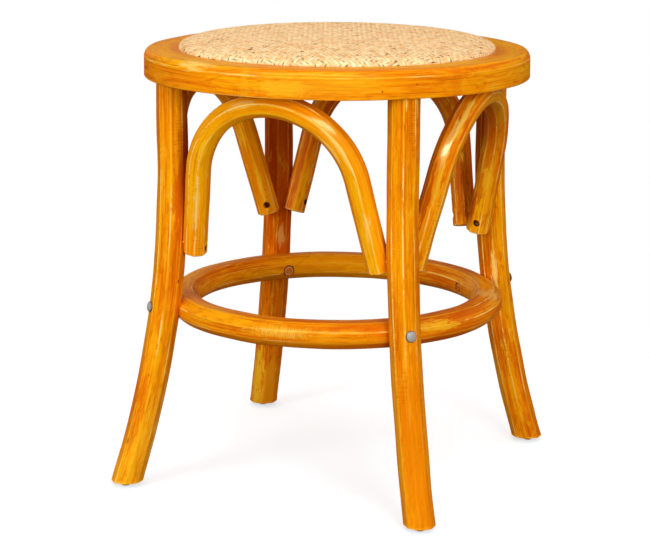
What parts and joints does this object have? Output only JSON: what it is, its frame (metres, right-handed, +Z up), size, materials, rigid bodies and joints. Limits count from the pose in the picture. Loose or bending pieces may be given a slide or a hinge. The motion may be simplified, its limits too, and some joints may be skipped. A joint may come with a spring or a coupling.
{
  "type": "bentwood stool",
  "caption": "Round bentwood stool with a padded seat under woven rattan, sabre legs, arch braces and a stretcher ring, for sitting.",
  "frame": {"origin": "on the floor, below the middle of the seat", "axes": "+Z up; -Y is the front, with an arch brace square to it and the legs on the diagonals; +X is to the right"},
  "size_m": [0.4, 0.4, 0.4645],
  "materials": {
    "stained_wood": "orange yellow stain under satin lacquer, paler where it is rubbed through",
    "plywood": "raw plywood",
    "rattan": "natural woven rattan strand",
    "padding": "foam and fibre padding",
    "zinc_steel": "bright zinc plate",
    "dark_steel": "steel stained over with the wood"
  },
  "bodies": {
    "root": {"seat_rim": "stained_wood", "seat_board": "plywood", "seat_padding": "padding", "seat_cane_cover": "rattan", "seat_board_screw_1": "zinc_steel", "seat_board_screw_2": "zinc_steel", "seat_board_screw_3": "zinc_steel", "seat_board_screw_4": "zinc_steel", "leg_front_right": "stained_wood", "tenon_screw_front_right": "zinc_steel", "ring_bolt_front_right": "zinc_steel", "ring_washer_front_right": "dark_steel", "ring_nut_front_right": "dark_steel", "foot_glide_front_right": "zinc_steel", "leg_back_right": "stained_wood", "tenon_screw_back_right": "zinc_steel", "ring_bolt_back_right": "zinc_steel", "ring_washer_back_right": "dark_steel", "ring_nut_back_right": "dark_steel", "foot_glide_back_right": "zinc_steel", "leg_back_left": "stained_wood", "tenon_screw_back_left": "zinc_steel", "ring_bolt_back_left": "zinc_steel", "ring_washer_back_left": "dark_steel", "ring_nut_back_left": "dark_steel", "foot_glide_back_left": "zinc_steel", "leg_front_left": "stained_wood", "tenon_screw_front_left": "zinc_steel", "ring_bolt_front_left": "zinc_steel", "ring_washer_front_left": "dark_steel", "ring_nut_front_left": "dark_steel", "foot_glide_front_left": "zinc_steel", "arch_brace_front": "stained_wood", "arch_top_screw_front": "zinc_steel", "arch_end_screw_front_a": "zinc_steel", "arch_end_screw_front_b": "zinc_steel", "arch_brace_right": "stained_wood", "arch_top_screw_right": "zinc_steel", "arch_end_screw_right_a": "zinc_steel", "arch_end_screw_right_b": "zinc_steel", "arch_brace_back": "stained_wood", "arch_top_screw_back": "zinc_steel", "arch_end_screw_back_a": "zinc_steel", "arch_end_screw_back_b": "zinc_steel", "arch_brace_left": "stained_wood", "arch_top_screw_left": "zinc_steel", "arch_end_screw_left_a": "zinc_steel", "arch_end_screw_left_b": "zinc_steel", "stretcher_ring": "stained_wood"}
  },
  "joints": []
}
